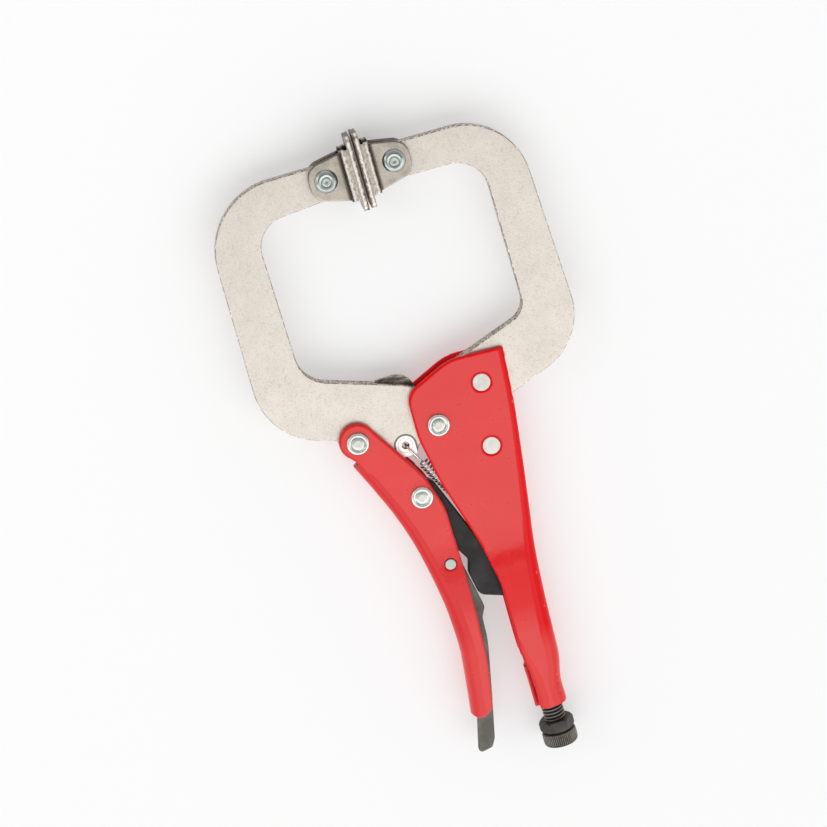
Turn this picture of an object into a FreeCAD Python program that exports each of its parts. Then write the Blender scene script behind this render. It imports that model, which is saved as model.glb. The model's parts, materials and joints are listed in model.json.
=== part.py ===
import FreeCAD, Part
import math
import os

# Locking C-clamp pliers with swivel pads, lying flat.  Millimetres.
# Drawing frame: the main pivot is at X = Y = 0 and Z = 0 is the tool's middle plane.
# +Y runs from the adjusting knob to the jaws, +X points to the fixed side, +Z is up.
# Every outline is a list of corners (x, y, corner radius).
# The finished pieces are moved so that the origin is the middle of the footprint.

Vec = FreeCAD.Vector
UP = Vec(0, 0, 1)
ALONG = Vec(0, 1, 0)

# Main thicknesses
jaw_half = 3.1
recess_depth = 0.8
lobe_levels = (-2.4, -0.4)
sheet = 2.25
lip_round = 0.6
gap_half = 3.35
cheek_half = gap_half + sheet
link_half = 2.5
lever_half = 1.6
edge_round = 0.5
station_step = 5.0
through = 12.0
slot_gap = 0.1
near_zero = 1e-3

# Pivots
main_pivot = (0.0, 0.0)
handle_pivot = (-35.4, 2.1)
link_pivot = (-15.3, -28.9)
lever_pivot = (-11.4, -61.4)
front_rivet = (22.6, 12.8)
rear_rivet = (19.5, -15.4)
movable_pad_pivot = (-17.6, 114.5)
fixed_pad_pivot = (12.0, 115.0)
spring_hole = (-15.9, -5.4)
handle_eye = (-35.3, 2.75)
handle_eye_radius = 8.0
jaw_slot = (28.0, 40.0, 2.4, 30.0)

# Rivets
pivot_shank = 3.175
pivot_clearance = 9.6
running_gap = 0.05
pivot_head = 4.85
pivot_head_height = 1.3
flush_radius = 3.85
flush_proud = 0.12
flush_round = 0.25
head_profile = [(0.0, 0.92), (0.48, 0.81), (0.56, 0.55), (0.68, 0.55), (0.76, 1.0), (0.9, 1.0), (1.0, 0.7)]
lever_pin_radius = 2.4
lever_pin_half = 6.35
pad_shank = 3.0
pad_head = 4.9
pad_head_height = 1.5
pad_rivet_gap = 0.1

# Swivel pads
pad_sheet = 2.4
pad_length = 32.0
pad_half_width = 10.0
pad_corner = 2.0
pad_bend = 2.2
pad_face_distance = 14.35
pad_depth = 6.1
pad_fold_half_length = 10.9
pad_offset = -0.1
ear_inner = 3.4
ear_outer = 5.6
ear_round = 7.1

# Spring
spring_direction = (0.47, -0.883)
spring_length = 60.0
spring_radius = 2.5
spring_wire = 0.55
hook_radius = 3.6
hook_gap = 7.0
lug_radius = 1.6
lug_levels = (-3.85, 1.4)
lug_gap = 0.1
spring_hole_radius = 1.75

# Adjusting screw, along Y
screw_x = 14.8
thread_radius = 4.7625
tube_outer = 7.1
tube_round = 6.5
tube_inner = 4.9
tube_end = -138.0
tube_top = -121.0
hollow_top = -104.0
seam_start = -117.4
screw_tip = -91.4
nut_top = -145.6
nut_bottom = -150.6
nut_across_flats = 13.5
nut_bevel = 0.9
knob_top = -151.1
knob_bottom = -157.4
knob_radius = 7.7
knob_bevel = 0.9
tip_bevel = 1.0


def spot(place, z=0.0):
    return Vec(place[0], place[1], z)


def rounded_wire(corners, z):
    """Closed outline through the corners, each one rounded by its own radius."""
    edges = []
    ends = []
    count = len(corners)
    for i in range(count):
        before = spot(corners[i - 1], z)
        here = spot(corners[i], z)
        after = spot(corners[(i + 1) % count], z)
        back = (before - here).normalize()
        ahead = (after - here).normalize()
        radius = corners[i][2]
        half = back.getAngle(ahead) / 2
        reach = radius / math.tan(half)
        middle = here + (back + ahead).normalize() * (radius / math.sin(half) - radius)
        ends.append((here + back * reach, middle, here + ahead * reach))
    for i in range(count):
        start, middle, stop = ends[i]
        edges.append(Part.Arc(start, middle, stop).toShape())
        following = ends[(i + 1) % count][0]
        if stop.distanceToPoint(following) > near_zero:
            edges.append(Part.LineSegment(stop, following).toShape())
    return Part.Wire(edges)


def plate(corners, low, high):
    return Part.Face(rounded_wire(corners, low)).extrude(UP * (high - low))


def disc(place, radius, low, high):
    return Part.makeCylinder(radius, high - low, spot(place, low), UP)


def bore(body, place, radius):
    """Body with a hole right through it along Z."""
    return body.cut(disc(place, radius, -through, through))


def box(x0, x1, y0, y1, z0, z1):
    return Part.makeBox(x1 - x0, y1 - y0, z1 - z0, Vec(x0, y0, z0))


def soften(solid, levels, radius):
    """Round the outline edges that lie in the given Z levels."""
    chosen = []
    for edge in solid.Edges:
        bounds = edge.BoundBox
        flat = bounds.ZLength < near_zero
        if flat and any(abs(bounds.ZMin - level) < near_zero for level in levels):
            chosen.append(edge)
    return solid.makeFillet(radius, chosen)


def movable_jaw():
    tip = movable_pad_pivot
    outline = [
        (tip[0] + 7.1, 121.2, 7.0), (-71.3, 121.2, 31.0), (-72.1, 14.0, 29.5),
        (-43.0, 5.2, 4.0), (-40.2, -4.4, 5.0), (-21.5, -10.4, 2.0),
        (-12.0, -10.4, 2.0), (-9.0, -4.2, 2.0), (-5.4, -9.0, 2.0),
        (9.0, -9.0, 8.9), (9.0, 8.2, 8.6), (-9.0, 20.4, 20.0),
        (-50.6, 34.4, 14.0), (-51.9, 103.8, 13.3), (tip[0] + 7.1, 107.0, 7.0),
    ]
    body = plate(outline, -jaw_half, jaw_half)
    body = soften(body, (-jaw_half, jaw_half), edge_round)
    lobe = [(-26.0, 20.0, 1.0), (-21.5, 25.1, 5.0), (-5.1, 25.0, 8.0), (-5.1, 14.0, 1.0)]
    body = body.fuse(plate(lobe, *lobe_levels))
    recess = [(-20.8, 0.2, 4.6), (-11.2, 0.2, 4.6), (-11.2, -12.0, 0.5), (-20.8, -12.0, 0.5)]
    body = body.cut(plate(recess, jaw_half - recess_depth, through))
    body = body.cut(plate(recess, -through, recess_depth - jaw_half))
    body = bore(body, spring_hole, spring_hole_radius)
    body = bore(body, main_pivot, pivot_shank + running_gap)
    body = bore(body, handle_pivot, pivot_shank + running_gap)
    return bore(body, tip, pad_shank)


def fixed_jaw():
    tip = fixed_pad_pivot
    outline = [
        (tip[0] - 7.2, 121.8, 7.3), (64.5, 121.6, 28.5), (71.0, 17.2, 28.0),
        (31.4, 2.7, 2.0), (29.3, -14.0, 8.0), (26.6, -23.6, 4.0), (12.8, -23.6, 4.0),
        (11.6, -2.0, 2.0), (9.4, 8.4, 2.0), (10.4, 23.0, 2.0),
        (48.9, 36.6, 9.5), (47.6, 106.4, 14.0), (tip[0] - 7.2, 107.0, 7.3),
    ]
    body = plate(outline, -jaw_half, jaw_half)
    body = bore(body, main_pivot, pivot_clearance)
    body = soften(body, (-jaw_half, jaw_half), edge_round)
    body = bore(body, front_rivet, flush_radius)
    body = bore(body, rear_rivet, flush_radius)
    return bore(body, tip, pad_shank)


def tube_section(y, left, right, half, left_round, right_round):
    """Rounded rectangle across the handle at height y, as one closed wire."""
    corners = [
        (left, -half, left_round), (right, -half, right_round),
        (right, half, right_round), (left, half, left_round),
    ]
    wire = rounded_wire(corners, 0)
    wire.rotate(Vec(0, 0, 0), Vec(1, 0, 0), 90)
    wire.translate(ALONG * y)
    return wire


def slopes(places, values):
    """Slopes of a smooth curve through the values that never overshoots them."""
    steps = []
    for i in range(len(places) - 1):
        steps.append((values[i + 1] - values[i]) / (places[i + 1] - places[i]))
    result = [steps[0]]
    for left, right in zip(steps, steps[1:]):
        flat = left * right <= 0
        result.append(0.0 if flat else 2 * left * right / (left + right))
    return result + [steps[-1]]


def between(places, values, at):
    """Value of that curve at one place."""
    tilt = slopes(places, values)
    i = 0
    while i < len(places) - 2 and at > places[i + 1]:
        i += 1
    span = places[i + 1] - places[i]
    t = (at - places[i]) / span
    start = values[i] * (1 + 2 * t) * (1 - t) ** 2 + tilt[i] * span * t * (1 - t) ** 2
    stop = values[i + 1] * t * t * (3 - 2 * t) + tilt[i + 1] * span * t * t * (t - 1)
    return start + stop


def hollow_channel(stations, open_side, hollow_from):
    """Pressed channel through the stations, listed from low Y to high Y.

    A station is (y, left, right, half thickness, left round, right round, reach).
    The inner form starts at hollow_from and reaches past the open side (-1 left, 1 right).
    """
    places = [station[0] for station in stations]
    columns = [[station[i] for station in stations] for i in range(1, 7)]
    count = math.ceil((places[-1] - places[0]) / station_step)
    outer = []
    inner = []
    for i in range(count + 1):
        y = places[0] + (places[-1] - places[0]) * i / count
        left, right, half, left_round, right_round, reach = [between(places, c, y) for c in columns]
        outer.append(tube_section(y, left, right, half, left_round, right_round))
        if y < hollow_from:
            continue
        inner_left = left - reach if open_side < 0 else left + sheet
        inner_right = right + reach if open_side > 0 else right - sheet
        closed_left = max(left_round - sheet, lip_round)
        closed_right = max(right_round - sheet, lip_round)
        inner.append(tube_section(y, inner_left, inner_right, half - sheet, closed_left, closed_right))
    shell = Part.makeLoft(outer, True, False)
    return shell.cut(Part.makeLoft(inner, True, False))


def fixed_handle():
    tube_left = screw_x - tube_outer
    tube_right = screw_x + tube_outer
    stations = [
        (tube_end, tube_left, tube_right, tube_outer, tube_round, tube_round, 0.0),
        (-127.0, tube_left, tube_right, tube_outer, tube_round, tube_round, 0.0),
        (-120.0, 7.5, 23.5, 7.1, 5.6, 6.6, 0.0),
        (-113.0, 7.3, 24.2, 7.1, 3.6, 6.6, 2.6),
        (-100.0, 6.0, 24.5, 7.1, 2.0, 6.6, 5.0),
        (-84.0, -1.0, 25.1, 7.05, 1.2, 6.3, 6.0),
        (-72.0, -7.0, 25.8, 6.6, 0.8, 5.7, 6.0),
        (-60.0, -13.0, 26.9, 5.8, 0.6, 4.9, 6.0),
        (-50.0, -17.0, 28.2, 5.6, 0.6, 4.2, 6.0),
        (-20.0, -20.0, 31.9, 5.6, 0.6, 3.2, 6.0),
        (5.0, -20.0, 34.5, 5.6, 0.6, 2.8, 6.0),
        (32.0, -20.0, 36.1, 5.6, 0.6, 2.8, 6.0),
    ]
    body = hollow_channel(stations, -1, tube_top)
    profile = [
        (-9.9, 16.6, 9.0), (11.5, 26.3, 22.0), (38.0, 25.0, 0.8), (38.0, tube_end - 1, 0.8),
        (4.0, tube_end - 1, 0.8), (4.0, -120.4, 0.8), (7.3, -117.4, 4.0), (7.3, -76.0, 30.0),
        (3.4, -56.0, 60.0), (-5.6, -26.6, 40.0), (-9.9, -4.0, 30.0),
    ]
    body = body.common(plate(profile, -through, through))
    slot_half = jaw_half + slot_gap
    body = body.cut(box(*jaw_slot, -slot_half, slot_half))
    seam = [(screw_x - 1.0, 0.2), (screw_x - 14.0, 1.6), (screw_x - 14.0, 13.0)]
    corners = [Vec(x, seam_start, z) for x, z in seam]
    face = Part.Face(Part.makePolygon(corners + corners[:1]))
    body = body.cut(face.extrude(ALONG * (tube_end - through - seam_start)))
    length = hollow_top - tube_end + 1
    body = body.cut(Part.makeCylinder(tube_inner, length, Vec(screw_x, tube_end - 1, 0), ALONG))
    for place in (front_rivet, rear_rivet):
        body = bore(body, place, flush_radius)
    body = bore(body, main_pivot, pivot_shank)
    return body.fuse(spring_lug()).removeSplitter()


def spring_axis(distance):
    x = spring_hole[0] + spring_direction[0] * distance
    y = spring_hole[1] + spring_direction[1] * distance
    return (x, y)


def spring_lug():
    """Post of the fixed handle that the spring's lower hook goes round."""
    return disc(spring_axis(spring_length), lug_radius, *lug_levels)


def movable_handle():
    stations = [
        (-136.0, -21.1, 6.0, 7.0, 6.7, 0.6, 6.0),
        (-115.0, -18.7, 6.0, 7.0, 6.7, 0.6, 6.0),
        (-100.0, -17.5, 6.0, 7.0, 6.7, 0.6, 6.0),
        (-84.0, -18.2, 6.0, 7.0, 6.6, 0.6, 6.0),
        (-72.0, -19.7, 6.0, 6.7, 6.1, 0.6, 6.0),
        (-60.0, -21.8, 6.0, 5.9, 5.5, 0.6, 6.0),
        (-50.0, -24.0, 6.0, 5.6, 5.3, 0.6, 6.0),
        (-35.0, -28.6, 6.0, 5.6, 5.3, 0.6, 6.0),
        (-20.0, -34.8, 6.0, 5.6, 5.3, 0.6, 6.0),
        (-8.2, -40.1, 6.0, 5.6, 5.3, 0.6, 6.0),
    ]
    body = hollow_channel(stations, 1, stations[0][0])
    profile = [
        (-45.0, -5.0, 0.8), (-26.0, 2.5, 0.8), (-11.6, -20.4, 14.0), (-6.8, -36.0, 30.0),
        (-6.2, -64.0, 80.0), (-6.3, -88.0, 90.0), (-7.3, -108.0, 90.0), (-10.8, -131.0, 6.0),
        (-17.2, -134.4, 3.6), (-21.4, -131.5, 3.0), (-30.0, -100.0, 0.8), (-45.0, -50.0, 0.8),
    ]
    body = body.common(plate(profile, -through, through))
    for low_face, high_face in ((gap_half, cheek_half), (-cheek_half, -gap_half)):
        eye = disc(handle_eye, handle_eye_radius, low_face, high_face)
        neck = [
            (-42.2, -0.8, 1.0), (-39.9, -3.8, 2.0), (-38.5, -5.5, 1.0), (-35.6, -12.0, 1.0),
            (-31.0, -14.0, 1.0), (-22.0, -24.0, 1.0), (-13.6, -16.6, 1.0), (-28.9, 7.4, 1.0),
            (-33.0, 6.0, 1.0),
        ]
        body = body.fuse(eye).fuse(plate(neck, low_face, high_face))
    for place in (handle_pivot, link_pivot):
        body = bore(body, place, pivot_shank)
    return bore(body, lever_pivot, lever_pin_radius).removeSplitter()


def toggle_link():
    outline = [
        (-22.5, -22.0, 6.4), (-9.6, -22.0, 6.4), (1.4, -50.0, 40.0), (10.5, -69.4, 7.0),
        (20.8, -69.8, 5.6), (20.9, -80.6, 5.2), (15.5, -86.2, 3.8), (-2.75, -79.7, 4.8),
        (-4.75, -69.0, 1.4), (-3.2, -62.8, 3.0), (-6.2, -57.6, 2.0), (-22.5, -36.0, 6.4),
    ]
    body = plate(outline, -link_half, link_half)
    body = soften(body, (-link_half, link_half), edge_round)
    return bore(body, link_pivot, pivot_shank + running_gap)


def release_lever():
    outline = [
        (-16.4, -56.4, 4.6), (-6.4, -56.4, 4.6), (-6.4, -63.5, 3.0), (-3.3, -79.0, 30.0),
        (-2.0, -86.0, 1.6), (-4.2, -90.5, 5.0), (-4.5, -101.0, 60.0), (-9.3, -126.0, 90.0),
        (-13.4, -146.0, 3.0), (-15.4, -150.0, 2.0), (-22.2, -151.3, 1.6), (-18.2, -134.0, 60.0),
        (-13.0, -100.0, 60.0), (-12.2, -76.0, 20.0), (-16.4, -66.0, 5.0),
    ]
    body = plate(outline, -lever_half, lever_half)
    body = soften(body, (-lever_half, lever_half), edge_round)
    return bore(body, lever_pivot, lever_pin_radius + running_gap)


def formed_rivet(place, shank, grip_half, head, height):
    """Rivet with two dished heads: a rim, a ring groove and a low boss."""
    side = [(head * out, grip_half + height * up) for out, up in head_profile]
    side += [(head, grip_half), (shank, grip_half)]
    upper = [Vec(r, 0, z) for r, z in side]
    lower = [Vec(r, 0, -z) for r, z in reversed(side)]
    face = Part.Face(Part.makePolygon(upper + lower + upper[:1]))
    rivet = face.revolve(Vec(0, 0, 0), UP, 360)
    rivet.translate(spot(place))
    return rivet


def flush_rivet(place, radius, half):
    pin = disc(place, radius, -half, half)
    return soften(pin, (-half, half), flush_round)


def swivel_pad(pivot, side):
    """Pad whose clamping face looks along X: side is 1 for the movable jaw, -1 for the fixed one."""
    face = pad_face_distance
    back = face - pad_sheet
    fold = face - pad_depth
    half_length = pad_length / 2
    y0 = pad_offset
    body = box(back, face, y0 - half_length, y0 + half_length, -pad_half_width, pad_half_width)
    corners = [e for e in body.Edges if abs(e.BoundBox.XLength - pad_sheet) < near_zero]
    body = body.makeFillet(pad_corner, corners)
    fold_low = y0 - pad_fold_half_length
    fold_high = y0 + pad_fold_half_length
    band = box(fold, face, fold_low, fold_high, -pad_half_width, pad_half_width)
    rims = [e for e in band.Edges if abs(e.BoundBox.YLength - 2 * pad_fold_half_length) < near_zero]
    band = band.makeFillet(pad_bend, rims)
    hollow_half = pad_half_width - pad_sheet
    band = band.cut(box(fold + pad_sheet, back, fold_low - 1, fold_high + 1, -hollow_half, hollow_half))
    body = body.fuse(band)
    ear = [
        (-ear_round, -ear_round + 0.4, 6.6), (fold + 1.0, fold_low, 0.8),
        (fold + 1.0, fold_high - 0.8, 0.8), (-ear_round, ear_round - 0.1, 6.6),
    ]
    for low, high in ((ear_inner, ear_outer), (-ear_outer, -ear_inner)):
        body = body.fuse(plate(ear, low, high))
    slot_end = fold + pad_sheet + slot_gap
    body = body.cut(box(0, slot_end, fold_low - 1, fold_high + 1, -ear_inner, ear_inner))
    body = bore(body, (0, 0), pad_shank + running_gap).removeSplitter()
    if side < 0:
        body = body.mirror(Vec(0, 0, 0), Vec(1, 0, 0))
    body.translate(spot(pivot))
    return body


def extension_spring():
    """Outer form of the coils with a closed hook at each end."""
    direction = Vec(spring_direction[0], spring_direction[1], 0).normalize()
    start = spot(spring_axis(hook_gap))
    lower_ring = spring_length - (hook_radius - spring_wire - lug_radius - lug_gap)
    length = lower_ring - hook_radius - hook_gap
    cap = 2 * spring_wire
    coils = Part.makeCylinder(spring_radius, length, start, direction)
    hollow = Part.makeCylinder(spring_radius - cap, length - 2 * cap, start + direction * cap, direction)
    across = direction.cross(UP)
    upper = Part.makeTorus(hook_radius, spring_wire, spot(spring_axis(hook_radius)), across)
    lower = Part.makeTorus(hook_radius, spring_wire, spot(spring_axis(lower_ring)), UP)
    return coils.cut(hollow).fuse(upper).fuse(lower).removeSplitter()


def adjusting_screw():
    length = knob_bottom - screw_tip
    shank = Part.makeCylinder(thread_radius, -length, Vec(screw_x, knob_bottom, 0), ALONG)
    tip = [e for e in shank.Edges if abs(e.BoundBox.YMin - screw_tip) < near_zero]
    shank = shank.makeChamfer(tip_bevel, tip)
    knob = Part.makeCylinder(knob_radius, knob_top - knob_bottom, Vec(screw_x, knob_bottom, 0), ALONG)
    rims = [e for e in knob.Edges if e.BoundBox.YLength < near_zero]
    knob = knob.makeChamfer(knob_bevel, rims)
    return shank.fuse(knob).removeSplitter()


def lock_nut():
    corner = nut_across_flats / math.sqrt(3)
    points = []
    for i in range(7):
        angle = math.radians(60 * i)
        points.append(Vec(screw_x + corner * math.cos(angle), nut_bottom, corner * math.sin(angle)))
    height = nut_top - nut_bottom
    body = Part.Face(Part.makePolygon(points)).extrude(ALONG * height)
    drum = Part.makeCylinder(corner + running_gap, height, Vec(screw_x, nut_bottom, 0), ALONG)
    rims = [e for e in drum.Edges if e.BoundBox.YLength < near_zero]
    body = body.common(drum.makeChamfer(nut_bevel, rims))
    hole = Part.makeCylinder(thread_radius + running_gap, height, Vec(screw_x, nut_bottom, 0), ALONG)
    return body.cut(hole)


def build_all():
    pivot = (pivot_shank, cheek_half + running_gap, pivot_head, pivot_head_height)
    pad = (pad_shank, ear_outer + pad_rivet_gap, pad_head, pad_head_height)
    flush_half = cheek_half + flush_proud
    return {
        "fixed_handle": fixed_handle(),
        "fixed_jaw": fixed_jaw(),
        "movable_jaw": movable_jaw(),
        "movable_handle": movable_handle(),
        "toggle_link": toggle_link(),
        "release_lever": release_lever(),
        "main_pivot_rivet": formed_rivet(main_pivot, *pivot),
        "handle_pivot_rivet": formed_rivet(handle_pivot, *pivot),
        "link_pivot_rivet": formed_rivet(link_pivot, *pivot),
        "fixed_jaw_rivet_front": flush_rivet(front_rivet, flush_radius, flush_half),
        "fixed_jaw_rivet_rear": flush_rivet(rear_rivet, flush_radius, flush_half),
        "release_lever_pin": flush_rivet(lever_pivot, lever_pin_radius, lever_pin_half),
        "movable_pad": swivel_pad(movable_pad_pivot, 1),
        "fixed_pad": swivel_pad(fixed_pad_pivot, -1),
        "movable_pad_rivet": formed_rivet(movable_pad_pivot, *pad),
        "fixed_pad_rivet": formed_rivet(fixed_pad_pivot, *pad),
        "extension_spring": extension_spring(),
        "adjusting_screw": adjusting_screw(),
        "lock_nut": lock_nut(),
    }


os.makedirs("parts", exist_ok=True)
pieces = build_all()
whole = Part.makeCompound(list(pieces.values())).optimalBoundingBox()
shift = Vec(-whole.Center.x, -whole.Center.y, -whole.ZMin)
for name, shape in pieces.items():
    shape = Part.makeCompound(shape.Solids) if len(shape.Solids) > 1 else shape.Solids[0]
    shape.translate(shift)
    shape.exportStep("parts/" + name + ".step")
    print(name, shape.ShapeType, len(shape.Solids), shape.isValid(), round(shape.Volume, 1))
print("shift", round(shift.x, 4), round(shift.y, 4), round(shift.z, 4))
print("size", round(whole.XLength, 3), round(whole.YLength, 3), round(whole.ZLength, 3))
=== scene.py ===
import json
import math

import bmesh
import bpy
from mathutils import Matrix, Vector
from mathutils.bvhtree import BVHTree


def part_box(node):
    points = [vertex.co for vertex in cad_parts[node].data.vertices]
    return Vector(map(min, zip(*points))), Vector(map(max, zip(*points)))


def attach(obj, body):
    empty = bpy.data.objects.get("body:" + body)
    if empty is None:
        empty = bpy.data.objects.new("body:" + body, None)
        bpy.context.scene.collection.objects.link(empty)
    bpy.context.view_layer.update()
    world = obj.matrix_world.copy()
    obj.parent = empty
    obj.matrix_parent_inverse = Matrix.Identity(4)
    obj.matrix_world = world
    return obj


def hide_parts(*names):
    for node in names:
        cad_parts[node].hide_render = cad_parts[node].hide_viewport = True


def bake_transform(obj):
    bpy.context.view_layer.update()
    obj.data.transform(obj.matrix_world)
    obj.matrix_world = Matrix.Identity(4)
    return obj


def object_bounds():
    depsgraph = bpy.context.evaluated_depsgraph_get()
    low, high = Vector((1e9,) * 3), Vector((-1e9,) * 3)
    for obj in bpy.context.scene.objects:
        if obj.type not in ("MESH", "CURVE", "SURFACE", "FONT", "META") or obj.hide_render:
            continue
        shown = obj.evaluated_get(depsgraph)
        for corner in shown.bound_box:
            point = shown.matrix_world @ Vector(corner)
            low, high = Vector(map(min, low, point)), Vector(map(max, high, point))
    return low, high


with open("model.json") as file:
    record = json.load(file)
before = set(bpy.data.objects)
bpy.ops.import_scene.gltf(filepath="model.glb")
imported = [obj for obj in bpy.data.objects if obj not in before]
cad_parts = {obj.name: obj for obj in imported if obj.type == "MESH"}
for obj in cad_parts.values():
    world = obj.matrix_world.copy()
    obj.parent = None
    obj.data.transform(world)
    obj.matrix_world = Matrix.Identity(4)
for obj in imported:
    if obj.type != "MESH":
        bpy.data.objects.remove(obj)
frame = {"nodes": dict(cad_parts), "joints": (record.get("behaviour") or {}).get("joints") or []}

cad_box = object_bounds()
nodes = frame["nodes"]
joints = {joint["name"]: joint for joint in frame["joints"]}
main_pivot = Vector(joints["jaw_pivot"]["pos_m"])
MM = 0.001
MM_IN_METRE = 1000.0
UP = Vector((0, 0, 1))
rivet_sides = 72
thread_sides = 56
weld_distance = 1e-6
flat_limit = 0.10 * MM
flat_fade = 0.05 * MM

# In millimetres, and places are measured from the main pivot.
spring_hole = (-15.9, -5.4)
back_lobe = (-14.0, 22.0)
pad_gap = -2.8
screw_x = 14.8
pivot_rivets = {
    "main_pivot_rivet": "fixed_side",
    "handle_pivot_rivet": "handle",
    "link_pivot_rivet": "handle",
}
pad_rivets = {"movable_pad_rivet": "jaw", "fixed_pad_rivet": "fixed_side"}
head_seats = {name: 5.65 for name in pivot_rivets} | {name: 5.7 for name in pad_rivets}
shanks = {name: 3.175 for name in pivot_rivets} | {name: 3.0 for name in pad_rivets}

# Strengths of the world's light, watts of the side light, and the floor, whose lengths are in metres.
horizon_light = 0.95
mid_light = 0.42
panel_light = 1.9
key_power = 4.0
floor_grey = 0.62
floor_glow = 0.36
floor_reach = 3.0
floor_drop = 0.0002


def at(x, y, z=0.0):
    """A point given in millimetres from the main pivot."""
    return main_pivot + Vector((x, y, z)) * MM


# ---------------------------------------------------------------- camera

def make_camera():
    tilt = math.radians(15.0)
    turn = math.radians(24.0)
    lean = math.radians(7.85)
    distance = 1.1578
    across = Vector((math.cos(lean), math.sin(lean), 0))
    away = Vector((-math.sin(lean), math.cos(lean), 0))
    back = UP * math.cos(tilt) + away * math.sin(tilt)
    rise = away * math.cos(tilt) - UP * math.sin(tilt)
    right = across * math.cos(turn) - rise * math.sin(turn)
    top = across * math.sin(turn) + rise * math.cos(turn)
    data = bpy.data.cameras.new("camera")
    data.sensor_width = 36.0
    data.lens = 117.5
    data.clip_start = 0.05
    data.clip_end = 20.0
    camera = bpy.data.objects.new("camera", data)
    bpy.context.scene.collection.objects.link(camera)
    place = at(-8.79, 6.54) + back * distance
    columns = (right, top, back)
    rows = [[column[i] for column in columns] + [place[i]] for i in range(3)]
    camera.matrix_world = Matrix(rows + [[0, 0, 0, 1]])
    bpy.context.scene.camera = camera


# ---------------------------------------------------------------- light

def area_light(name, place, target, width, height, power):
    data = bpy.data.lights.new(name, "AREA")
    data.shape = "RECTANGLE"
    data.size = width
    data.size_y = height
    data.energy = power
    light = bpy.data.objects.new(name, data)
    light.location = place
    light.rotation_euler = (Vector(target) - Vector(place)).to_track_quat("-Z", "Y").to_euler()
    bpy.context.scene.collection.objects.link(light)


def make_light():
    """Even studio light: pale all round, dimmer overhead, with a bright panel above the handles' end."""
    world = bpy.data.worlds.new("studio")
    bpy.context.scene.world = world
    world.use_nodes = True
    tree = world.node_tree
    background = tree.nodes["Background"]
    where = tree.nodes.new("ShaderNodeTexCoord")
    split = tree.nodes.new("ShaderNodeSeparateXYZ")
    tree.links.new(where.outputs["Generated"], split.inputs[0])

    def span(source, low, high):
        made = tree.nodes.new("ShaderNodeMapRange")
        made.interpolation_type = "SMOOTHSTEP"
        tree.links.new(source, made.inputs["Value"])
        made.inputs["From Min"].default_value = low
        made.inputs["From Max"].default_value = high
        return made.outputs["Result"]

    def product(a, b):
        made = tree.nodes.new("ShaderNodeMath")
        made.operation = "MULTIPLY"
        tree.links.new(a, made.inputs[0])
        tree.links.new(b, made.inputs[1])
        return made.outputs[0]

    def mix(factor, a, b):
        made = tree.nodes.new("ShaderNodeMix")
        made.data_type = "RGBA"
        tree.links.new(factor, made.inputs["Factor"])
        for socket, value in ((made.inputs["A"], a), (made.inputs["B"], b)):
            if isinstance(value, bpy.types.NodeSocket):
                tree.links.new(value, socket)
            else:
                socket.default_value = (value, value, value, 1)
        return made.outputs["Result"]

    around = mix(span(split.outputs["Z"], 0.15, 0.55), horizon_light, mid_light)
    panel = product(span(split.outputs["Y"], -0.15, -0.24), span(split.outputs["Z"], 0.3, 0.5))
    tree.links.new(mix(panel, around, panel_light), background.inputs[0])
    background.inputs[1].default_value = 1.0
    area_light("left_side", (-1.6, 0.9, 1.3), (0, 0, 0), width=0.9, height=0.9, power=key_power)
    settings = bpy.context.scene.view_settings
    settings.view_transform = "Standard"
    settings.exposure = 0.0


def make_floor():
    mesh = bpy.data.meshes.new("floor")
    corners = [(-floor_reach, -floor_reach, 0), (floor_reach, -floor_reach, 0),
               (floor_reach, floor_reach, 0), (-floor_reach, floor_reach, 0)]
    mesh.from_pydata(corners, [], [(0, 1, 2, 3)])
    floor = bpy.data.objects.new("floor", mesh)
    bpy.context.scene.collection.objects.link(floor)
    floor.location.z = cad_box[0][2] - floor_drop
    paper = bpy.data.materials.new("pale_floor")
    paper.use_nodes = True
    shader = paper.node_tree.nodes["Principled BSDF"]
    shader.inputs["Base Color"].default_value = (floor_grey, floor_grey, floor_grey, 1)
    shader.inputs["Emission Color"].default_value = (1, 1, 1, 1)
    shader.inputs["Emission Strength"].default_value = floor_glow
    shader.inputs["Roughness"].default_value = 0.9
    shader.inputs["Specular IOR Level"].default_value = 0.2
    mesh.materials.append(paper)


# ---------------------------------------------------------------- materials

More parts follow.
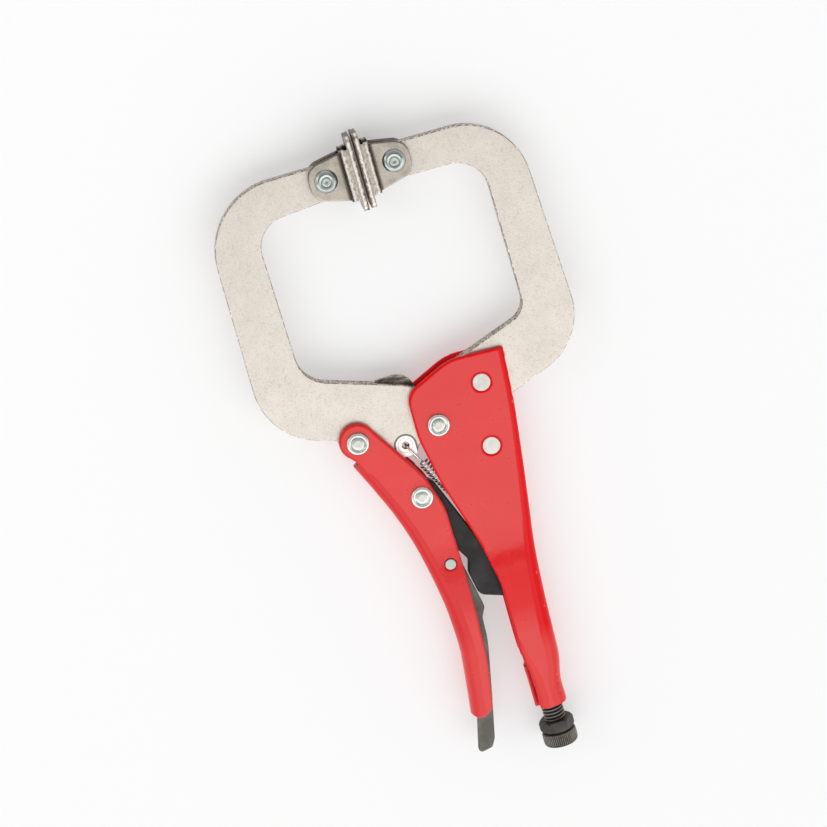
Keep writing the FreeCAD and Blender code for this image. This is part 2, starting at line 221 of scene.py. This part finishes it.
class Finish:
    """One node-based material, with short calls for the nodes that it needs."""

    def __init__(self, name):
        self.material = bpy.data.materials.new(name)
        self.material.use_nodes = True
        self.tree = self.material.node_tree
        self.shader = self.tree.nodes["Principled BSDF"]
        self.where = self.node("ShaderNodeTexCoord")

    def node(self, kind, **values):
        made = self.tree.nodes.new(kind)
        for key, value in values.items():
            setattr(made, key, value)
        return made

    def link(self, start, stop):
        self.tree.links.new(start, stop)

    def fill(self, socket, value):
        """Gives a socket a number, a colour, or the output of another node."""
        if isinstance(value, bpy.types.NodeSocket):
            self.link(value, socket)
        elif isinstance(value, tuple) and len(value) == 3 and socket.type == "RGBA":
            socket.default_value = (*value, 1)
        else:
            socket.default_value = value

    def spot(self, stretch=(1, 1, 1)):
        """Coordinates in metres, multiplied along each axis."""
        scaled = self.node("ShaderNodeVectorMath", operation="MULTIPLY")
        self.link(self.where.outputs["Object"], scaled.inputs[0])
        scaled.inputs[1].default_value = stretch
        return scaled.outputs[0]

    def noise(self, size_mm, detail=3.0, rough=0.55, stretch=(1, 1, 1)):
        made = self.node("ShaderNodeTexNoise")
        self.link(self.spot(stretch), made.inputs["Vector"])
        made.inputs["Scale"].default_value = MM_IN_METRE / size_mm
        made.inputs["Detail"].default_value = detail
        made.inputs["Roughness"].default_value = rough
        return made.outputs["Fac"]

    def cells(self, size_mm):
        made = self.node("ShaderNodeTexVoronoi")
        self.link(self.spot(), made.inputs["Vector"])
        made.inputs["Scale"].default_value = MM_IN_METRE / size_mm
        return made.outputs["Distance"]

    def span(self, value, low, high, out_low=0.0, out_high=1.0):
        """Maps low..high to out_low..out_high and stays inside it."""
        made = self.node("ShaderNodeMapRange")
        self.fill(made.inputs["Value"], value)
        made.inputs["From Min"].default_value = low
        made.inputs["From Max"].default_value = high
        made.inputs["To Min"].default_value = out_low
        made.inputs["To Max"].default_value = out_high
        return made.outputs["Result"]

    def math(self, kind, a, b=0.0):
        made = self.node("ShaderNodeMath", operation=kind)
        self.fill(made.inputs[0], a)
        self.fill(made.inputs[1], b)
        return made.outputs[0]

    def mix(self, factor, a, b):
        made = self.node("ShaderNodeMix", data_type="RGBA")
        self.fill(made.inputs["Factor"], factor)
        self.fill(made.inputs["A"], a)
        self.fill(made.inputs["B"], b)
        return made.outputs["Result"]

    def blend(self, factor, a, b):
        made = self.node("ShaderNodeMix", data_type="FLOAT")
        self.fill(made.inputs["Factor"], factor)
        self.fill(made.inputs["A"], a)
        self.fill(made.inputs["B"], b)
        return made.outputs["Result"]

    def lean(self):
        """1 on the flat faces of a plate, 0 on its sheared sides."""
        split = self.node("ShaderNodeSeparateXYZ")
        self.link(self.where.outputs["Normal"], split.inputs[0])
        return self.math("ABSOLUTE", split.outputs["Z"])

    def band(self, value, low, high, soft):
        """1 between low and high, falling to 0 over soft on either side."""
        rise = self.span(value, low - soft, low)
        fall = self.span(value, high, high + soft, 1.0, 0.0)
        return self.math("MULTIPLY", rise, fall)

    def place(self):
        """X, Y and Z of the shaded point in millimetres from the main pivot."""
        split = self.node("ShaderNodeSeparateXYZ")
        self.link(self.where.outputs["Object"], split.inputs[0])
        result = []
        for axis, start in zip("XYZ", main_pivot):
            level = self.math("SUBTRACT", split.outputs[axis], start)
            result.append(self.math("MULTIPLY", level, MM_IN_METRE))
        return result

    def distance(self, center, stretch_down=False):
        """Millimetres from the vertical line through center, or from the slot that runs down from it."""
        x, y, _ = self.place()
        across = self.math("SUBTRACT", x, center[0])
        along = self.math("SUBTRACT", y, center[1])
        if stretch_down:
            along = self.math("MAXIMUM", along, 0.0)
        total = self.math("ADD", self.math("MULTIPLY", across, across), self.math("MULTIPLY", along, along))
        return self.math("SQRT", total)

    def around_screw(self):
        """Millimetres from the adjusting screw's axis."""
        x, _, z = self.place()
        across = self.math("SUBTRACT", x, screw_x)
        total = self.math("ADD", self.math("MULTIPLY", across, across), self.math("MULTIPLY", z, z))
        return self.math("SQRT", total)

    def ridges(self):
        """1 on convex edges, 0 elsewhere."""
        return self.span(self.node("ShaderNodeNewGeometry").outputs["Pointiness"], 0.53, 0.62)

    def bump(self, height, distance_mm, strength):
        made = self.node("ShaderNodeBump")
        made.inputs["Strength"].default_value = strength
        made.inputs["Distance"].default_value = distance_mm * MM
        self.link(height, made.inputs["Height"])
        return made.outputs["Normal"]

    def set(self, **values):
        names = {"color": "Base Color", "rough": "Roughness", "metal": "Metallic", "normal": "Normal",
                 "coat": "Coat Weight", "coat_rough": "Coat Roughness", "gloss": "Specular IOR Level"}
        for key, value in values.items():
            self.fill(self.shader.inputs[names[key]], value)


def nickel_arm(name, tone, extra=None):
    """Satin nickel over thick sheet: fine speckle and brown sheared sides.

    The rounded edges have a painted line of shade with painted glints. extra(f, body) may add marks and
    painted shade to the flat faces.
    """
    fine_tone, speck_tone, scratch_tone = (0.50, 0.45, 0.385), (0.40, 0.35, 0.29), (0.95, 0.93, 0.90)
    sheared_dark, sheared_pale = (0.20, 0.16, 0.12), (0.72, 0.66, 0.57)
    edge_shade, edge_glint = (0.22, 0.18, 0.14), (1.0, 0.98, 0.94)
    f = Finish(name)
    clouds = f.noise(14.0, 3.0)
    speckle = f.noise(0.9, 3.0, 0.7)
    fine = f.noise(0.45, 2.0, 0.6)
    body = f.mix(f.span(clouds, 0.35, 0.65), tone, tuple(c * 0.92 for c in tone))
    body = f.mix(f.math("MULTIPLY", f.span(fine, 0.42, 0.66), 0.38), body, fine_tone)
    body = f.mix(f.math("MULTIPLY", f.span(speckle, 0.54, 0.70), 0.36), body, speck_tone)
    scratch = f.span(f.noise(0.5, 2.0, 0.5, (1.0, 0.06, 1.0)), 0.64, 0.74)
    body = f.mix(f.math("MULTIPLY", scratch, 0.15), body, scratch_tone)
    flat_rough = f.span(speckle, 0.3, 0.7, 0.40, 0.55)
    if extra is not None:
        body = extra(f, body)
    lean = f.lean()
    grain = f.span(f.noise(0.8, 3.0, 0.65, (1.0, 1.0, 0.5)), 0.40, 0.62)
    sheared = f.mix(grain, sheared_dark, sheared_pale)
    # Painted shade with painted glints on the rounded edges between the sheared sides and the faces.
    line = f.mix(f.span(f.noise(0.9, 2.0, 0.6), 0.50, 0.60), edge_shade, edge_glint)
    color = f.mix(f.span(lean, 0.45, 0.62), sheared, line)
    color = f.mix(f.span(lean, 0.90, 0.97), color, body)
    f.set(color=color, metal=1.0)
    f.set(rough=f.blend(f.span(lean, 0.45, 0.9), f.span(grain, 0, 1, 0.55, 0.32), flat_rough))
    height = f.math("ADD", f.math("MULTIPLY", speckle, 0.5), f.math("MULTIPLY", grain, 0.3))
    f.set(normal=f.bump(height, 0.04, 0.5))
    return f.material


def jaw_ring_and_painted_shade(f, body):
    """Adds the coined ring round the spring hole, with painted shade as its dark outline and in its groove,
    and mottled painted shade on the lobe at the back.
    """
    ring_tone, outline_shade, groove_shade = (0.98, 0.95, 0.90), (0.12, 0.09, 0.07), (0.30, 0.25, 0.20)
    lobe_shade, lobe_pale = (0.10, 0.088, 0.078), (0.48, 0.43, 0.36)
    _, _, z = f.place()
    away = f.distance(spring_hole, stretch_down=True)
    floor = f.span(z, 2.0, 2.2)
    ring = f.math("MULTIPLY", f.span(away, 4.2, 4.0), f.span(z, 2.6, 2.8, 1.0, 0.0))
    body = f.mix(f.math("MULTIPLY", ring, floor), body, ring_tone)
    # Painted shade round the coined ring and in its groove.
    outline = f.math("MULTIPLY", f.band(away, 4.25, 5.0, 0.12), floor)
    body = f.mix(f.math("MULTIPLY", outline, 0.8), body, outline_shade)
    groove = f.math("MULTIPLY", f.band(f.distance(spring_hole), 3.1, 3.35, 0.15), floor)
    body = f.mix(f.math("MULTIPLY", groove, 0.45), body, groove_shade)
    # Mottled painted shade on the lobe at the back.
    lobe = f.math("MULTIPLY", f.span(f.distance(back_lobe), 12.5, 12.0), f.span(z, 0.2, 0.0))
    blotch = f.span(f.noise(2.6, 3.0, 0.6, (0.5, 1.6, 1.0)), 0.42, 0.66)
    patches = f.mix(blotch, lobe_shade, lobe_pale)
    return f.mix(lobe, body, patches)


def nickel_pad(name, tone):
    """Nickel over bent sheet: satin ears with painted shade on their edges and sides, painted highlights on
    the ridges, painted shade along a groove line, by the gap and in the creases, and brown crinkled folds.
    """
    ear_speck, ear_edge_shade, ear_side_shade = (0.30, 0.255, 0.205), (0.16, 0.13, 0.10), (0.07, 0.055, 0.042)
    fold_dark, fold_pale, fold_line_shade = (0.36, 0.315, 0.26), (0.62, 0.57, 0.50), (0.16, 0.13, 0.10)
    outer_ridge_highlight, inner_ridge_highlight, ridge_highlight = (0.98, 0.96, 0.92), (0.95, 0.92, 0.87), (0.95, 0.92, 0.88)
    gap_shade, crease_shade = (0.13, 0.085, 0.05), (0.05, 0.038, 0.028)
    f = Finish(name)
    x, _, z = f.place()
    level = f.math("ABSOLUTE", z)
    across = f.math("ABSOLUTE", f.math("ADD", x, -pad_gap))
    lean = f.lean()
    speckle = f.noise(0.8, 3.0, 0.7)
    ear = f.mix(f.math("MULTIPLY", f.span(speckle, 0.45, 0.7), 0.35), tone, ear_speck)
    ear = f.mix(f.span(f.noise(7.0, 2.0), 0.4, 0.65), ear, tuple(c * 0.72 for c in tone))
    # Painted shade on the ear's edge band and on its sloping sides.
    ear = f.mix(f.band(across, 6.0, 7.2, 0.8), ear, ear_edge_shade)
    ear = f.mix(f.span(lean, 0.93, 0.75), ear, ear_side_shade)
    crinkle = f.noise(1.0, 3.0, 0.6, (1.4, 0.6, 1.0))
    wave = f.math("ADD", across, f.math("MULTIPLY", f.math("ADD", crinkle, -0.5), 1.6))
    fold = f.mix(f.span(crinkle, 0.38, 0.66), fold_dark, fold_pale)
    # Painted highlights on the outer and inner ridges of the fold.
    fold = f.mix(f.math("MULTIPLY", f.band(wave, 4.9, 5.4, 0.3), 0.55), fold, outer_ridge_highlight)
    fold = f.mix(f.math("MULTIPLY", f.band(wave, 1.6, 2.1, 0.3), 0.7), fold, inner_ridge_highlight)
    # Painted shade along a groove line, by the gap and in the creases at the foot of the wall.
    fold = f.mix(f.math("MULTIPLY", f.band(wave, 2.5, 2.8, 0.2), 0.3), fold, fold_line_shade)
    fold = f.mix(f.span(wave, 1.3, 0.8), fold, gap_shade)
    crease_shade_mask = f.span(wave, 5.6, 6.0)
    fold = f.mix(f.math("MULTIPLY", crease_shade_mask, 0.92), fold, crease_shade)
    # Painted highlight on the convex ridges.
    ridge = f.math("MULTIPLY", f.ridges(), 0.6)
    fold = f.mix(ridge, fold, ridge_highlight)
    color = f.mix(f.span(level, 5.7, 6.0), ear, fold)
    f.set(color=color, metal=1.0, rough=f.span(crinkle, 0.35, 0.65, 0.42, 0.24))
    folded = f.math("MULTIPLY", crinkle, f.span(level, 5.8, 7.0))
    height = f.math("ADD", folded, f.math("MULTIPLY", speckle, 0.25))
    f.set(normal=f.bump(height, 0.12, 0.6))
    return f.material


def enamel(name, flat, reflection_red, rim_highlight, rim_highlight_share, bend_gloss, reflection_from, reflection_to, round_from):
    """Glossy enamel over pressed steel, with a patchy painted highlight on the sheet's rims.

    It has painted reflection: a deeper red on slopes and bends, and on the stretch of the tool between the
    two given limits, stands for darker surroundings reflected in the enamel. Below round_from that painted
    reflection is weaker.
    """
    dust_tone = (0.95, 0.55, 0.5)
    f = Finish(name)
    _, y, _ = f.place()
    clouds = f.noise(28.0, 2.0)
    color = f.mix(f.span(clouds, 0.35, 0.65), flat, tuple(c * 0.96 for c in flat))
    lean = f.lean()
    # Painted reflection: deeper red where the surface tilts, on one stretch along the tool and on bends.
    slope_reflection = f.math("MULTIPLY", f.span(lean, 0.9994, 0.9965), 0.85)
    reflection_zone = f.math("MULTIPLY", f.band(y, reflection_from, reflection_to, 13.0), 0.62)
    share = f.span(y, round_from, round_from + 10.0, 0.35, 1.0)
    bend_reflection = f.span(lean, 0.985, 0.90)
    painted_reflection = f.math("MULTIPLY", f.math("MAXIMUM", f.math("MAXIMUM", slope_reflection, reflection_zone), bend_reflection), share)
    color = f.mix(painted_reflection, color, reflection_red)
    # Pale rims: painted highlight on the convex edges, mixed with patchy wear.
    wear_and_highlight = f.math("MULTIPLY", f.ridges(), f.span(f.noise(2.5, 3.0), 0.35, 0.6, 0.45, 1.0))
    color = f.mix(f.math("MULTIPLY", wear_and_highlight, rim_highlight_share), color, rim_highlight)
    dust = f.span(f.cells(3.4), 0.0, 0.03, 1.0, 0.0)
    f.set(color=f.mix(f.math("MULTIPLY", dust, 0.06), color, dust_tone))
    f.set(rough=f.span(f.noise(6.0, 2.0), 0.3, 0.7, 0.27, 0.33))
    f.set(gloss=f.span(painted_reflection, 0.0, 1.0, 0.5, bend_gloss))
    f.set(coat=f.span(painted_reflection, 0.0, 1.0, 0.2, 0.0), coat_rough=0.08)
    f.set(normal=f.bump(f.noise(1.8, 1.0), 0.008, 0.3))
    return f.material


def black_oxide(name, tone, wear_and_highlight, crests=(), crest_tone=None):
    """Satin black oxide. crests are (radius, half width, share) round the screw that are rubbed bright."""
    f = Finish(name)
    clouds = f.noise(9.0, 4.0)
    grain = f.noise(0.5, 2.0, 0.6)
    color = f.mix(f.span(clouds, 0.38, 0.7), tone, wear_and_highlight)
    color = f.mix(f.math("MULTIPLY", f.span(grain, 0.5, 0.75), 0.35), color, wear_and_highlight)
    for radius, half, strength in crests:
        rubbed = f.band(f.around_screw(), radius - half, radius + half, 0.12)
        patchy = f.span(f.noise(2.0, 3.0), 0.3, 0.6, 0.4, 1.0)
        color = f.mix(f.math("MULTIPLY", f.math("MULTIPLY", rubbed, patchy), strength), color, crest_tone)
    f.set(color=color, metal=0.6)
    f.set(rough=f.span(grain, 0.3, 0.7, 0.38, 0.56))
    f.set(normal=f.bump(grain, 0.03, 0.5))
    return f.material


def zinc(name, tone, rough_low, rough_high, rings=None, slope_highlight=None):
    """Bright zinc plate. rings are (center, radius, half width, tone) lines of painted shade round a rivet's
    axis, and the slope tone paints the sloping faces lighter as a painted highlight.
    """
    f = Finish(name)
    clouds = f.noise(3.0, 2.0)
    grain = f.noise(0.5, 2.0)
    color = f.mix(f.span(clouds, 0.38, 0.66), tone, tuple(c * 0.88 for c in tone))
    # Painted highlight: the sloping faces of the head are lighter.
    if slope_highlight is not None:
        color = f.mix(f.span(f.lean(), 0.99, 0.90), color, slope_highlight)
    # Painted shade: patchy dark rings round the rivet's axis.
    for center, radius, half, dark in rings or ():
        line = f.band(f.distance(center), radius - half, radius + half, 0.12)
        line = f.math("MULTIPLY", line, f.span(f.noise(3.4, 1.0), 0.38, 0.58, 0.15, 1.0))
        color = f.mix(line, color, dark)
    f.set(color=color, metal=1.0, rough=f.span(grain, 0.3, 0.7, rough_low, rough_high))
    f.set(normal=f.bump(f.math("ADD", clouds, grain), 0.012, 0.4))
    return f.material


# ---------------------------------------------------------------- shapes

def new_object(name, mesh, body, *replaced):
    piece = bpy.data.objects.new(name, mesh)
    bpy.context.scene.collection.objects.link(piece)
    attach(piece, body)
    if replaced:
        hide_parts(*replaced)
    return piece


def weld(mesh):
    """Joins the vertices that lie on each other."""
    form = bmesh.new()
    form.from_mesh(mesh)
    bmesh.ops.remove_doubles(form, verts=form.verts, dist=weld_distance)
    form.to_mesh(mesh)
    form.free()


def applied(source, *modifiers):
    """A copy of the mesh of source with these modifiers worked into it."""
    mesh = source.data.copy()
    weld(mesh)
    holder = bpy.data.objects.new("holder", mesh)
    bpy.context.scene.collection.objects.link(holder)
    for kind, values in modifiers:
        modifier = holder.modifiers.new(kind, kind)
        for key, value in values.items():
            setattr(modifier, key, value)
    graph = bpy.context.evaluated_depsgraph_get()
    result = bpy.data.meshes.new_from_object(holder.evaluated_get(graph))
    bpy.data.objects.remove(holder)
    bpy.data.meshes.remove(mesh)
    return result


def rounded_sheet(name, node, body, voxel_mm, passes):
    """The CAD sheet part with all its sharp edges rounded, as pressing and enamel leave them.

    Vertices close to the CAD surface go back onto it, so the flat faces stay exactly flat.
    """
    remesh = ("REMESH", {"mode": "VOXEL", "voxel_size": voxel_mm * MM})
    smooth = ("SMOOTH", {"factor": 0.5, "iterations": passes})
    mesh = applied(nodes[node], remesh, smooth)
    exact = bmesh.new()
    exact.from_mesh(nodes[node].data)
    surface = BVHTree.FromBMesh(exact)
    for vertex in mesh.vertices:
        place, _, _, distance = surface.find_nearest(vertex.co)
        hold = min(1.0, max(0.0, (flat_limit - distance) / flat_fade))
        vertex.co = vertex.co.lerp(place, hold)
    exact.free()
    mesh.shade_smooth()
    return new_object(name, mesh, body, node)


def lathe(rings, count, radius, place):
    """Vertices and faces of closed rings. rings are (height, kind), radius(height, kind, angle) is in mm."""
    points = []
    faces = []
    for height, kind in rings:
        for i in range(count):
            angle = 2 * math.pi * i / count
            r = radius(height, kind, angle)
            points.append(place(r * math.sin(angle), height, r * math.cos(angle)))
    for k in range(len(rings) - 1):
        for i in range(count):
            j = (i + 1) % count
            faces.append((k * count + i, k * count + j, (k + 1) * count + j, (k + 1) * count + i))
    faces.append(tuple(reversed(range(count))))
    last = (len(rings) - 1) * count
    faces.append(tuple(last + i for i in range(count)))
    return points, faces


def smooth_line(corners, radius, steps=5):
    """The (out, up) line through the corners with each inner corner rounded."""
    result = [corners[0]]
    for before, here, after in zip(corners, corners[1:], corners[2:]):
        back = Vector(before) - Vector(here)
        ahead = Vector(after) - Vector(here)
        reach = min(radius, back.length * 0.45, ahead.length * 0.45)
        start = Vector(here) + back.normalized() * reach
        stop = Vector(here) + ahead.normalized() * reach
        for i in range(steps + 1):
            t = i / steps
            result.append(tuple(start * (1 - t) ** 2 + Vector(here) * 2 * t * (1 - t) + stop * t * t))
    return result + [corners[-1]]


def rivet(name, body, profile):
    """A formed rivet turned from the (share of radius, share of head height) profile, both heads alike."""
    corner_radius = 0.22
    axis_clearance = 0.02
    low, high = (Vector(corner) * MM_IN_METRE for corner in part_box(name))
    center = (low + high) / 2
    half = (high.z - low.z) / 2
    head = (high.x - low.x) / 2
    seat = head_seats[name]
    line = smooth_line([(head * out, seat + (half - seat) * up) for out, up in profile], corner_radius)
    line = [(r, z) for r, z in line if r > axis_clearance]
    line += [(head, seat), (shanks[name], seat)]
    line += [(r, -z) for r, z in reversed(line)]

    def place(x, height, y):
        return (center.x + x, center.y + y, center.z + height)

    rings = [(z, k) for k, (r, z) in enumerate(line)]
    points, faces = lathe(rings, rivet_sides, lambda z, k, angle: line[k][0], place)
    mesh = bpy.data.meshes.new(name + "_formed")
    mesh.from_pydata([Vector(p) * MM for p in points], [], faces)
    mesh.shade_smooth()
    return new_object(name + "_formed", mesh, body, name)


def screw():
    """Adjusting screw: rolled thread and a knob with a straight knurl."""
    low, high = (Vector(corner) * MM_IN_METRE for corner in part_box("adjusting_screw"))
    center = ((low.x + high.x) / 2, (low.z + high.z) / 2)
    knob_radius = (high.x - low.x) / 2
    pitch = 1.5875
    crest = 4.7625
    root = 3.85
    knob_top = low.y + 6.3
    ridges = 52
    ridge_sides = 10
    knurl_depth = 0.42
    ridge_power = 1.4
    crest_flat = 0.14
    flank = 0.62
    undercut = 0.6
    fade_in = 1.2
    tip_taper = 1.6
    undercut_depth = 0.35
    tip_size = 0.86
    overlap = 1.0

    def place(x, height, z):
        return (center[0] + x, height, center[1] + z)

    def thread(y, kind, angle):
        phase = (y / pitch - angle / (2 * math.pi)) % 1.0
        rise = min(1.0, max(0.0, (abs(2 * phase - 1) - crest_flat) / flank))
        fade = min(1.0, max(0.0, (y - knob_top - undercut) / fade_in))
        tip = min(1.0, max(0.0, (high.y - y) / tip_taper))
        rise *= undercut_depth + (1.0 - undercut_depth) * fade
        return (root + (crest - root) * rise) * (tip_size + (1.0 - tip_size) * tip)

    rings_per_turn = 14
    length = high.y - knob_top + overlap
    steps = int(length / pitch * rings_per_turn)
    rings = [(knob_top - overlap + length * i / steps, 0) for i in range(steps + 1)]
    points, faces = lathe(rings, thread_sides, thread, place)

    height = knob_top - low.y
    # (share of the knob's length, share of its radius, share of the knurl's depth)
    profile = [
        (0.0, 0.80, 0.0), (0.02, 0.90, 0.0), (0.08, 0.955, 0.2), (0.16, 0.985, 0.8), (0.3, 1.0, 1.0),
        (0.5, 1.0, 1.0), (0.7, 1.0, 1.0), (0.84, 0.995, 1.0), (0.88, 0.985, 0.4), (0.92, 0.97, 0.0),
        (0.98, 0.95, 0.0), (1.0, 0.92, 0.0), (1.0, 0.66, 0.0), (0.985, 0.62, 0.0),
    ]

    def knob(y, kind, angle):
        _, size, knurl = profile[kind]
        ridge = abs(math.sin(ridges * angle / 2)) ** ridge_power
        return knob_radius * size - knurl_depth * knurl * ridge

    rings = [(low.y + height * profile[k][0], k) for k in range(len(profile))]
    more, more_faces = lathe(rings, ridges * ridge_sides, knob, place)
    start = len(points)
    points += more
    faces += [tuple(start + i for i in face) for face in more_faces]
    mesh = bpy.data.meshes.new("adjusting_screw_turned")
    mesh.from_pydata([Vector(p) * MM for p in points], [], faces)
    mesh.shade_smooth()
    return new_object("adjusting_screw_turned", mesh, "screw", "adjusting_screw")


def spring():
    """Extension spring: open coils, a hook through the jaw and a ring round the handle's post."""
    hole = Vector((*spring_hole, 0.0))
    toward_post = (0.47, -0.883, 0)
    along = Vector(toward_post).normalized()
    across = along.cross(UP)
    ring = 3.6
    coil = 1.95
    wire = 0.5
    hook = 3.1
    first = 10.8
    last = 55.0
    turns = 25
    growth = 6
    hook_end = 1.6
    hook_steps = 18
    lead_in = 6.2
    steps_per_turn = 16
    ring_center = 58.65
    ring_start = 180
    ring_sweep = 320
    ring_steps = 24
    path = [hole + along * (ring + hook_end) - UP * hook]
    for i in range(hook_steps + 1):
        angle = math.radians(-90 + 180 * i / hook_steps)
        path.append(hole + along * (hook - hook * math.cos(angle)) + UP * hook * math.sin(angle))
    path.append(hole + along * lead_in + UP * hook)
    steps = turns * steps_per_turn
    for i in range(steps + 1):
        share = i / steps
        angle = 2 * math.pi * turns * share
        grow = min(1.0, growth * share * turns, growth * (1 - share) * turns) * coil
        offset = across * math.cos(angle) + UP * math.sin(angle)
        path.append(hole + along * (first + (last - first) * share) + offset * grow)
    for i in range(1, ring_steps + 1):
        angle = math.radians(ring_start + ring_sweep * i / ring_steps)
        out = ring_center + ring * math.cos(angle)
        path.append(hole + along * out + across * ring * math.sin(angle))
    curve = bpy.data.curves.new("spring_wire", "CURVE")
    curve.dimensions = "3D"
    curve.bevel_depth = wire * MM
    curve.bevel_resolution = 2
    curve.use_fill_caps = True
    spline = curve.splines.new("POLY")
    spline.points.add(len(path) - 1)
    for point, place in zip(spline.points, path):
        point.co = (*(main_pivot + place * MM), 1)
    holder = bpy.data.objects.new("holder", curve)
    bpy.context.scene.collection.objects.link(holder)
    mesh = bpy.data.meshes.new_from_object(holder.evaluated_get(bpy.context.evaluated_depsgraph_get()))
    bpy.data.objects.remove(holder)
    weld(mesh)
    mesh.shade_smooth()
    piece = bpy.data.objects.new("extension_spring_coils", mesh)
    bpy.context.scene.collection.objects.link(piece)
    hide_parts("extension_spring")
    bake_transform(piece)
    return piece


def paint(piece, material):
    piece.data.materials.clear()
    piece.data.materials.append(material)
    for face in piece.data.polygons:
        face.material_index = 0


def paint_node(name, material):
    """Gives a CAD node its material in its object's own slots."""
    for part in nodes[name].material_slots:
        part.link = "OBJECT"
        part.material = material


make_camera()
make_light()
make_floor()

arm_tone = (0.77, 0.715, 0.645)
arm = nickel_arm("satin_nickel_arm", arm_tone)
arm_with_painted_shade = nickel_arm("satin_nickel_arm_painted_shade", arm_tone, jaw_ring_and_painted_shade)
pads = nickel_pad("crinkled_nickel_pads", (0.56, 0.505, 0.43))
red_flat = (0.78, 0.018, 0.015)
red_rim_highlight = (0.95, 0.50, 0.44)
# Fixed handle: painted reflection as a deeper red on its bends and on one stretch, and a faint painted
# highlight on its rims.
red = enamel("red_enamel", red_flat, reflection_red=(0.78, 0.006, 0.010), rim_highlight=red_rim_highlight, rim_highlight_share=0.25,
             bend_gloss=0.08, reflection_from=-88.0, reflection_to=-74.0, round_from=-110.0)
# Movable handle: a copy with a stronger painted highlight on its spine's rims and its own stretch of painted
# reflection.
spine_highlighted_red = enamel("red_enamel_spine_highlighted", red_flat, reflection_red=(0.68, 0.008, 0.010), rim_highlight=red_rim_highlight, rim_highlight_share=0.70,
                   bend_gloss=0.34, reflection_from=-80.0, reflection_to=-64.0, round_from=-104.0)
link_black = black_oxide("black_oxide_link", (0.018, 0.017, 0.017), (0.040, 0.037, 0.036))
lever_black = black_oxide("black_oxide_lever", (0.100, 0.094, 0.083), (0.19, 0.18, 0.16))
nut_black = black_oxide("black_oxide_nut", (0.034, 0.031, 0.027), (0.085, 0.079, 0.069))
rubbed_crests = ((7.62, 0.1, 0.55), (4.7, 0.1, 0.5))
screw_black = black_oxide("black_oxide_screw", (0.024, 0.022, 0.020), (0.07, 0.066, 0.058),
                          rubbed_crests, crest_tone=(0.45, 0.43, 0.38))
ground_steel = zinc("ground_steel", (0.70, 0.67, 0.62), rough_low=0.42, rough_high=0.58)
spring_steel = zinc("spring_wire", (0.85, 0.83, 0.80), rough_low=0.22, rough_high=0.34)
plain_zinc = zinc("bright_zinc", (0.42, 0.46, 0.43), rough_low=0.28, rough_high=0.40)

handle_rounding = {"voxel_mm": 0.45, "passes": 8}
pad_rounding = {"voxel_mm": 0.25, "passes": 5}
fixed_handle = rounded_sheet("fixed_handle_enamelled", "fixed_handle", "fixed_side", **handle_rounding)
movable_handle = rounded_sheet("movable_handle_enamelled", "movable_handle", "handle", **handle_rounding)
paint(fixed_handle, red)
paint(movable_handle, spine_highlighted_red)
for name, body in (("movable_pad", "jaw_pad"), ("fixed_pad", "arm_pad")):
    pad = rounded_sheet(name + "_pressed", name, body, **pad_rounding)
    paint(pad, pads)
turned = screw()
paint(turned, screw_black)
coils = spring()
paint(coils, spring_steel)

# Rivet heads as (share of radius, share of head height), and their rings of painted shade as (radius, half
# width).
pivot_head = [(0.0, 0.84), (0.30, 0.88), (0.50, 0.82), (0.56, 0.62), (0.64, 0.62), (0.70, 0.94), (0.82, 1.0),
              (0.93, 0.85), (1.0, 0.45), (1.0, 0.0)]
pad_head = [(0.0, 0.70), (0.08, 0.90), (0.34, 0.92), (0.41, 0.82), (0.48, 0.93), (0.62, 1.0), (0.74, 0.93),
            (0.90, 0.60), (1.0, 0.25), (1.0, 0.0)]
pivot_shade_rings = ((2.9, 0.25), (4.75, 0.08))
pad_shade_rings = ((0.4, 0.15), (2.05, 0.15), (3.3, 0.12), (4.75, 0.10))
# Tones as (zinc, painted ring shade, painted slope highlight); the pad rivets have no painted slope
# highlight.
pivot_tones = ((0.56, 0.565, 0.52), (0.27, 0.29, 0.275), (0.90, 0.92, 0.89))
pad_tones = ((0.50, 0.55, 0.52), (0.18, 0.21, 0.20), None)
for names, profile, lines, (tone, ring_shade_tone, slope_highlight) in (
    (pivot_rivets, pivot_head, pivot_shade_rings, pivot_tones),
    (pad_rivets, pad_head, pad_shade_rings, pad_tones),
):
    for name, body in names.items():
        piece = rivet(name, body, profile)
        middle = (Vector(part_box(name)[0]) + Vector(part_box(name)[1])) / 2 - main_pivot
        center = (middle.x / MM, middle.y / MM)
        rings = [(center, radius, half, ring_shade_tone) for radius, half in lines]
        finish = zinc(name + "_zinc", tone, 0.24, 0.36, rings=rings, slope_highlight=slope_highlight)
        paint(piece, finish)

paint_node("fixed_jaw", arm)
paint_node("movable_jaw", arm_with_painted_shade)
paint_node("toggle_link", link_black)
paint_node("release_lever", lever_black)
paint_node("lock_nut", nut_black)
paint_node("release_lever_pin", plain_zinc)
for name in ("fixed_jaw_rivet_front", "fixed_jaw_rivet_rear"):
    paint_node(name, ground_steel)
